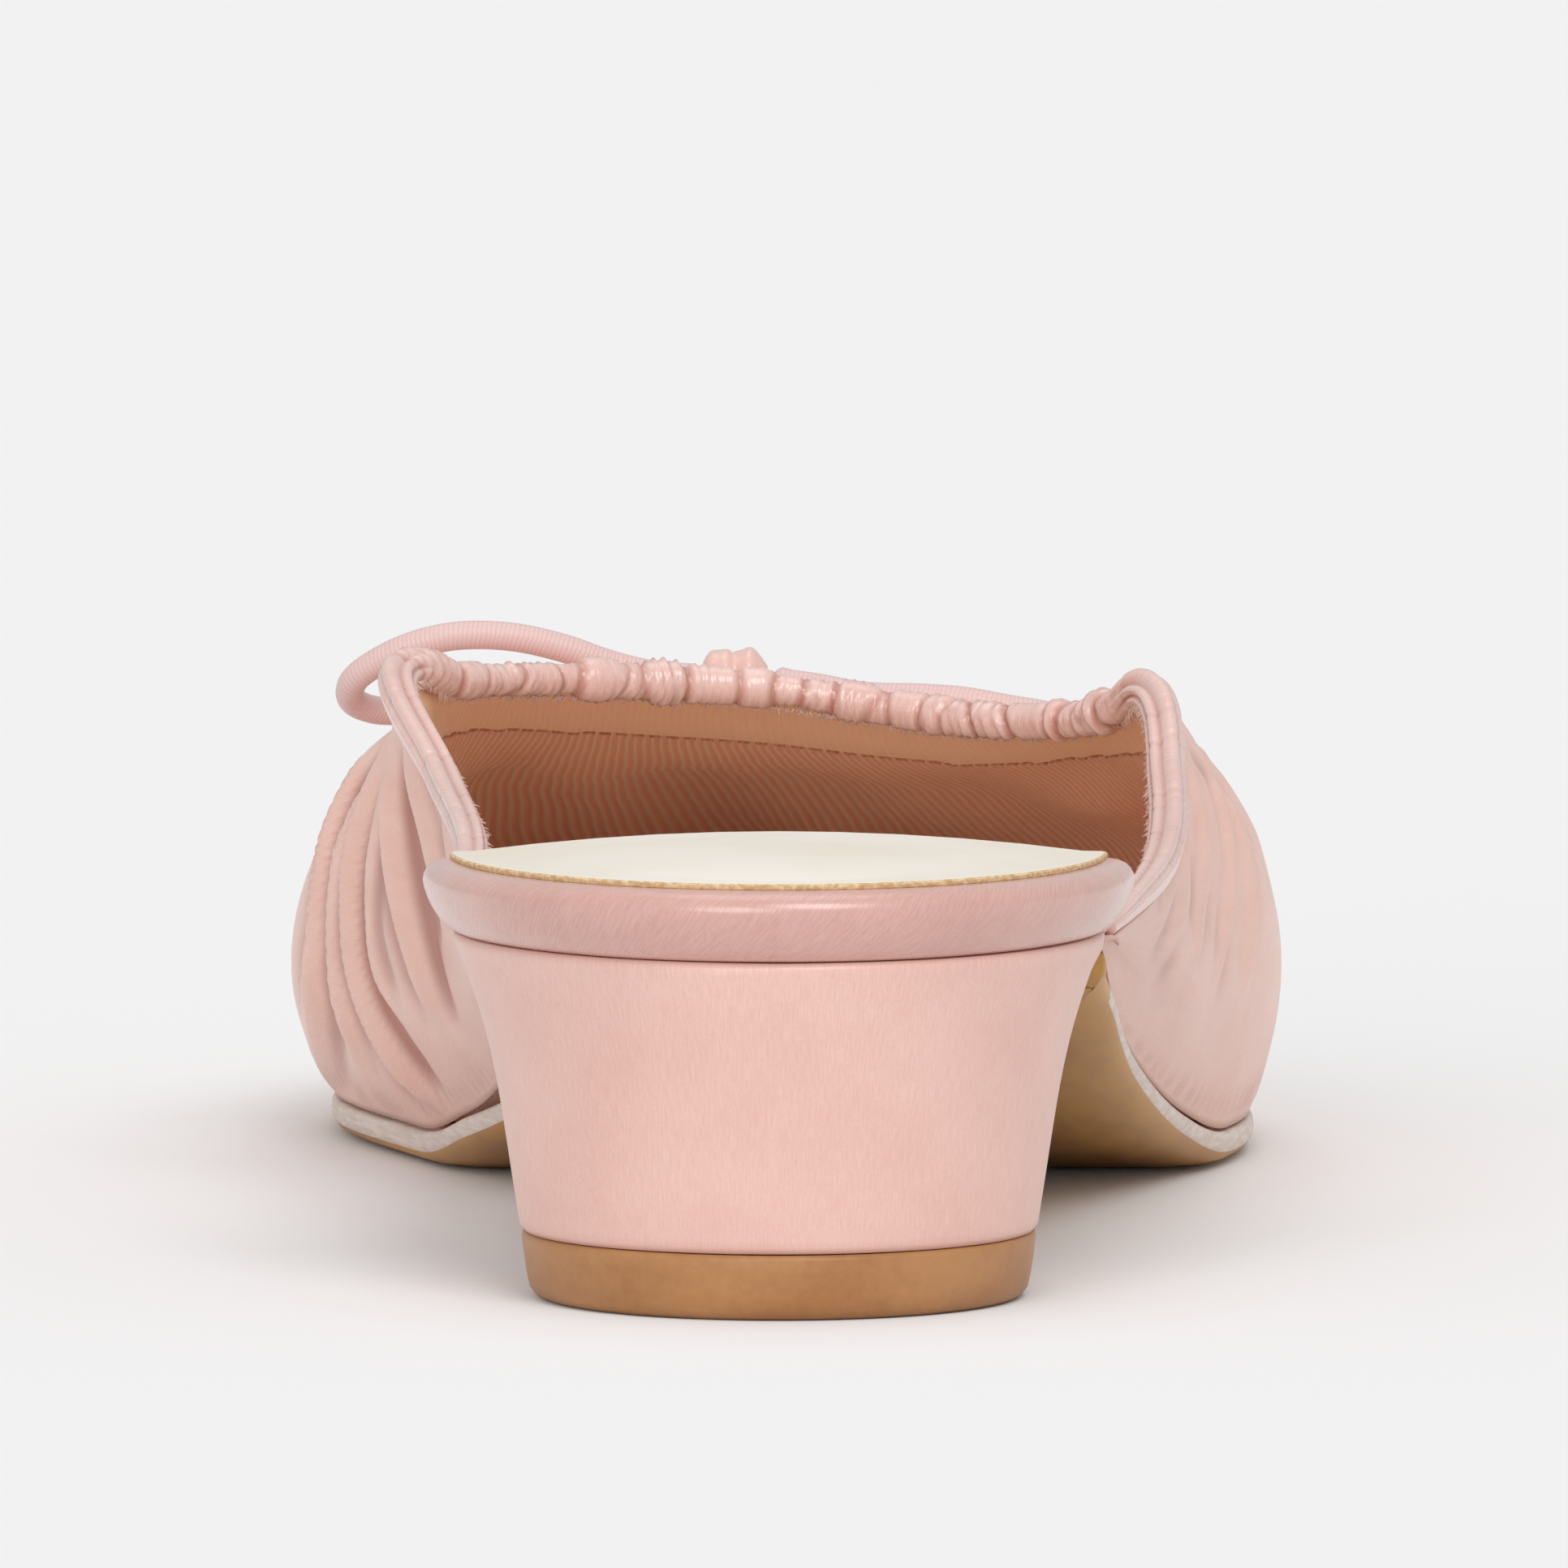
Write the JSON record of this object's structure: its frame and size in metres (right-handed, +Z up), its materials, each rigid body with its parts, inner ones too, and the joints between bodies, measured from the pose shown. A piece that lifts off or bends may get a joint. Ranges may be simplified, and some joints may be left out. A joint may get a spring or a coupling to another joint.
{
  "type": "block heel mule",
  "caption": "Backless satin mule for the right foot with a gathered upper, a drawstring topline tied in a bow, a covered footbed and a low block heel.",
  "frame": {"origin": "on the floor, under the middle of the shoe's box without the bow", "axes": "+Y runs from the heel to the toe, +X to the outer (little-toe) side, +Z up from the floor"},
  "size_m": [0.094, 0.2524, 0.0506],
  "materials": {
    "satin": "blush pink satin weave with a soft sheen",
    "sock_leather": "smooth cream leather with a raw tan edge",
    "lift": "semi-matt tan rubber",
    "sole": "smooth tan sole with a pale edge"
  },
  "bodies": {
    "root": {"outsole": "sole", "heel_block": "satin", "top_lift": "lift", "footbed": "satin", "sock": "sock_leather", "upper": "satin", "topline_casing": "satin", "bow_knot": "satin", "bow_loop_inner": "satin", "bow_loop_outer": "satin", "bow_tail_inner": "satin", "bow_tail_outer": "satin"}
  },
  "joints": []
}
